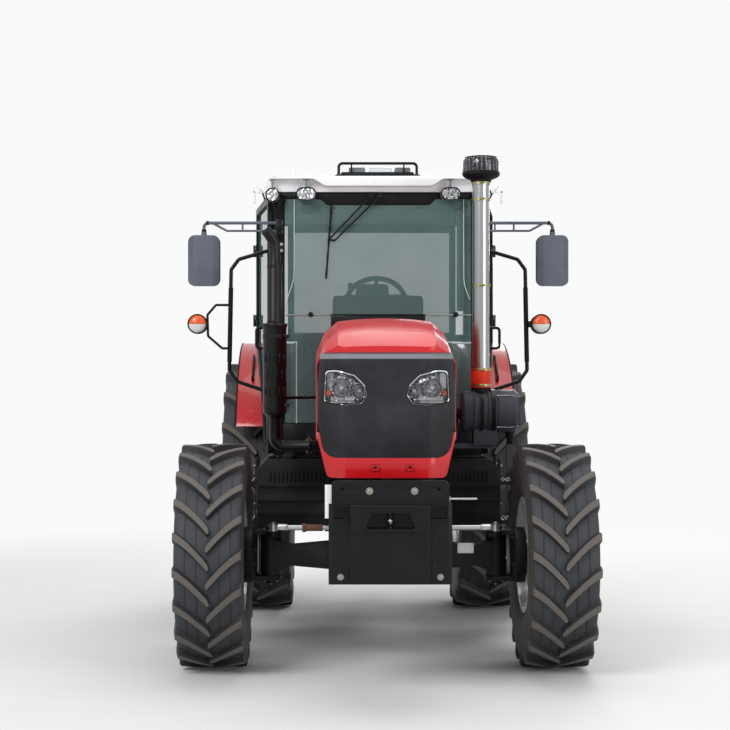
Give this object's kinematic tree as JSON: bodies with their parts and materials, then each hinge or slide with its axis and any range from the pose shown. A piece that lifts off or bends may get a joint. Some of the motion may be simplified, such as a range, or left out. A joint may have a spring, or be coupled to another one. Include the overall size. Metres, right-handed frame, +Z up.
{
  "type": "farm tractor",
  "caption": "Four-wheel-drive farm tractor with a closed cab, hinged hood and doors, front ballast, steered front axle and rear three-point hitch.",
  "frame": {"origin": "on the ground, under the middle of the tractor's bounding box", "axes": "+Z up, -Y forwards, +X to the tractor's left"},
  "size_m": [2.415, 4.5599, 3.027],
  "materials": {
    "red_paint": "gloss red enamel",
    "black_paint": "satin black enamel",
    "chassis_paint": "satin dark grey enamel over castings",
    "rod_steel": "ground steel",
    "stack_steel": "polished stainless tube",
    "tyre_rubber": "dusty rubber",
    "rim_paint": "silver white enamel",
    "black_plastic": "grained black plastic",
    "white_plastic": "white moulded plastic",
    "cab_glass": "green tinted",
    "lamp_glass": "clear moulded lens over chrome",
    "signal_plastic": "orange and clear lens",
    "clear_bowl": "clear bowl",
    "seat_fabric": "woven cover",
    "floor_rubber": "ribbed mat"
  },
  "bodies": {
    "chassis": {"front_weight": "chassis_paint", "front_support": "chassis_paint", "radiator": "black_paint", "engine_block": "chassis_paint", "transmission": "chassis_paint", "rear_axle": "chassis_paint", "front_axle": "chassis_paint", "cab_floor": "floor_rubber", "cab_frame": "black_paint", "windscreen": "cab_glass", "side_windows": "cab_glass", "roof": "white_plastic", "roof_rail": "black_paint", "dashboard": "black_plastic", "seat_base": "black_plastic", "seat_cushion": "seat_fabric", "seat_backrest": "seat_fabric", "fender_left": "red_paint", "fender_right": "red_paint", "exhaust": "black_paint", "intake_pipe": "stack_steel", "pre_cleaner": "clear_bowl", "air_filter": "black_plastic", "fuel_tank": "black_plastic", "battery_box": "black_plastic", "steps": "black_paint", "mirror_left": "black_plastic", "mirror_right": "black_plastic", "handrails": "black_paint", "signal_lamps": "signal_plastic", "work_lamps": "lamp_glass", "drawbar": "chassis_paint", "wiper": "black_paint"},
    "knuckle_left": {"knuckle_left": "chassis_paint"},
    "knuckle_right": {"knuckle_right": "chassis_paint"},
    "steering_rod": {"steering_rod": "rod_steel"},
    "hood": {"hood_shell": "red_paint", "side_grilles": "black_plastic", "grille_mask": "black_plastic", "headlamps": "lamp_glass"},
    "door_left": {"door_left": "black_paint", "door_glass_left": "cab_glass"},
    "door_right": {"door_right": "black_paint", "door_glass_right": "cab_glass"},
    "rear_window": {"rear_window": "black_paint", "rear_window_glass": "cab_glass"},
    "steering_wheel": {"steering_wheel": "black_plastic"},
    "lower_links": {"lower_links": "black_paint"},
    "lift_arms": {"lift_arms": "black_paint"},
    "lift_rods": {"lift_rods": "black_paint"},
    "top_link": {"top_link": "black_paint"},
    "pto_shaft": {"pto_shaft": "rod_steel"},
    "wheel_front_left": {"tyre_front_left": "tyre_rubber", "rim_front_left": "rim_paint"},
    "wheel_front_right": {"tyre_front_right": "tyre_rubber", "rim_front_right": "rim_paint"},
    "wheel_rear_left": {"tyre_rear_left": "tyre_rubber", "rim_rear_left": "rim_paint"},
    "wheel_rear_right": {"tyre_rear_right": "tyre_rubber", "rim_rear_right": "rim_paint"}
  },
  "joints": [
    {"name": "steer_left", "type": "hinge", "parent": "chassis", "child": "knuckle_left", "pos_m": [0.64, -1.18, 0.6325], "axis": [0, 0, 1], "range_deg": [-40, 40]},
    {"name": "steer_right", "type": "hinge", "parent": "chassis", "child": "knuckle_right", "pos_m": [-0.64, -1.18, 0.6325], "axis": [0, 0, 1], "range_deg": [-40, 40]},
    {"name": "steer_rod", "type": "slide", "parent": "chassis", "child": "steering_rod", "axis": [1, 0, 0], "range_m": [-0.098, 0.098]},
    {"name": "steering_wheel_turn", "type": "hinge", "parent": "chassis", "child": "steering_wheel", "pos_m": [0, 0.32, 2.15], "axis": [0, 0.766, 0.6428], "range_deg": [-720, 720]},
    {"name": "roll_front_left", "type": "hinge", "parent": "knuckle_left", "child": "wheel_front_left", "pos_m": [0.957, -1.18, 0.6325], "axis": [1, 0, 0], "continuous": true},
    {"name": "roll_front_right", "type": "hinge", "parent": "knuckle_right", "child": "wheel_front_right", "pos_m": [-0.957, -1.18, 0.6325], "axis": [1, 0, 0], "continuous": true},
    {"name": "roll_rear_left", "type": "hinge", "parent": "chassis", "child": "wheel_rear_left", "pos_m": [0.81, 1.22, 0.8775], "axis": [1, 0, 0], "continuous": true},
    {"name": "roll_rear_right", "type": "hinge", "parent": "chassis", "child": "wheel_rear_right", "pos_m": [-0.81, 1.22, 0.8775], "axis": [1, 0, 0], "continuous": true},
    {"name": "door_left_hinge", "type": "hinge", "parent": "chassis", "child": "door_left", "pos_m": [0.82415, 0.68323, 2.26], "axis": [0, 0, 1], "range_deg": [0, 70]},
    {"name": "door_right_hinge", "type": "hinge", "parent": "chassis", "child": "door_right", "pos_m": [-0.82415, 0.68323, 2.26], "axis": [0, 0, -1], "range_deg": [0, 70]},
    {"name": "rear_window_hinge", "type": "hinge", "parent": "chassis", "child": "rear_window", "pos_m": [0, 1.43, 2.785], "axis": [1, 0, 0], "range_deg": [0, 65]},
    {"name": "hood_hinge", "type": "hinge", "parent": "chassis", "child": "hood", "pos_m": [0, -0.245, 1.94], "axis": [-1, 0, 0], "range_deg": [0, 45]},
    {"name": "lower_link_lift", "type": "hinge", "parent": "chassis", "child": "lower_links", "pos_m": [0, 1.28, 0.56], "axis": [1, 0, 0], "range_deg": [-12, 25]},
    {"name": "lift_arm_turn", "type": "hinge", "parent": "chassis", "child": "lift_arms", "pos_m": [0, 1.442, 1.23], "axis": [1, 0, 0], "range_deg": [-20, 41]},
    {"name": "lift_rod_swing", "type": "hinge", "parent": "lift_arms", "child": "lift_rods", "pos_m": [0, 1.712, 1.23], "axis": [1, 0, 0], "range_deg": [-41, 20]},
    {"name": "top_link_swing", "type": "hinge", "parent": "chassis", "child": "top_link", "pos_m": [0, 1.528, 0.96], "axis": [1, 0, 0], "range_deg": [-110, 0]},
    {"name": "pto_turn", "type": "hinge", "parent": "chassis", "child": "pto_shaft", "pos_m": [0, 1.5, 0.66], "axis": [0, 1, 0], "continuous": true}
  ],
  "couplings": [
    {"joint": "steer_right", "follows": "steer_left", "ratio": 1},
    {"joint": "steer_rod", "follows": "steer_left", "m_per_rad": 0.13811},
    {"joint": "steering_wheel_turn", "follows": "steer_left", "ratio": 18},
    {"joint": "lift_arm_turn", "follows": "lower_link_lift", "ratio": 1.6},
    {"joint": "lift_rod_swing", "follows": "lower_link_lift", "ratio": -1.6}
  ]
}
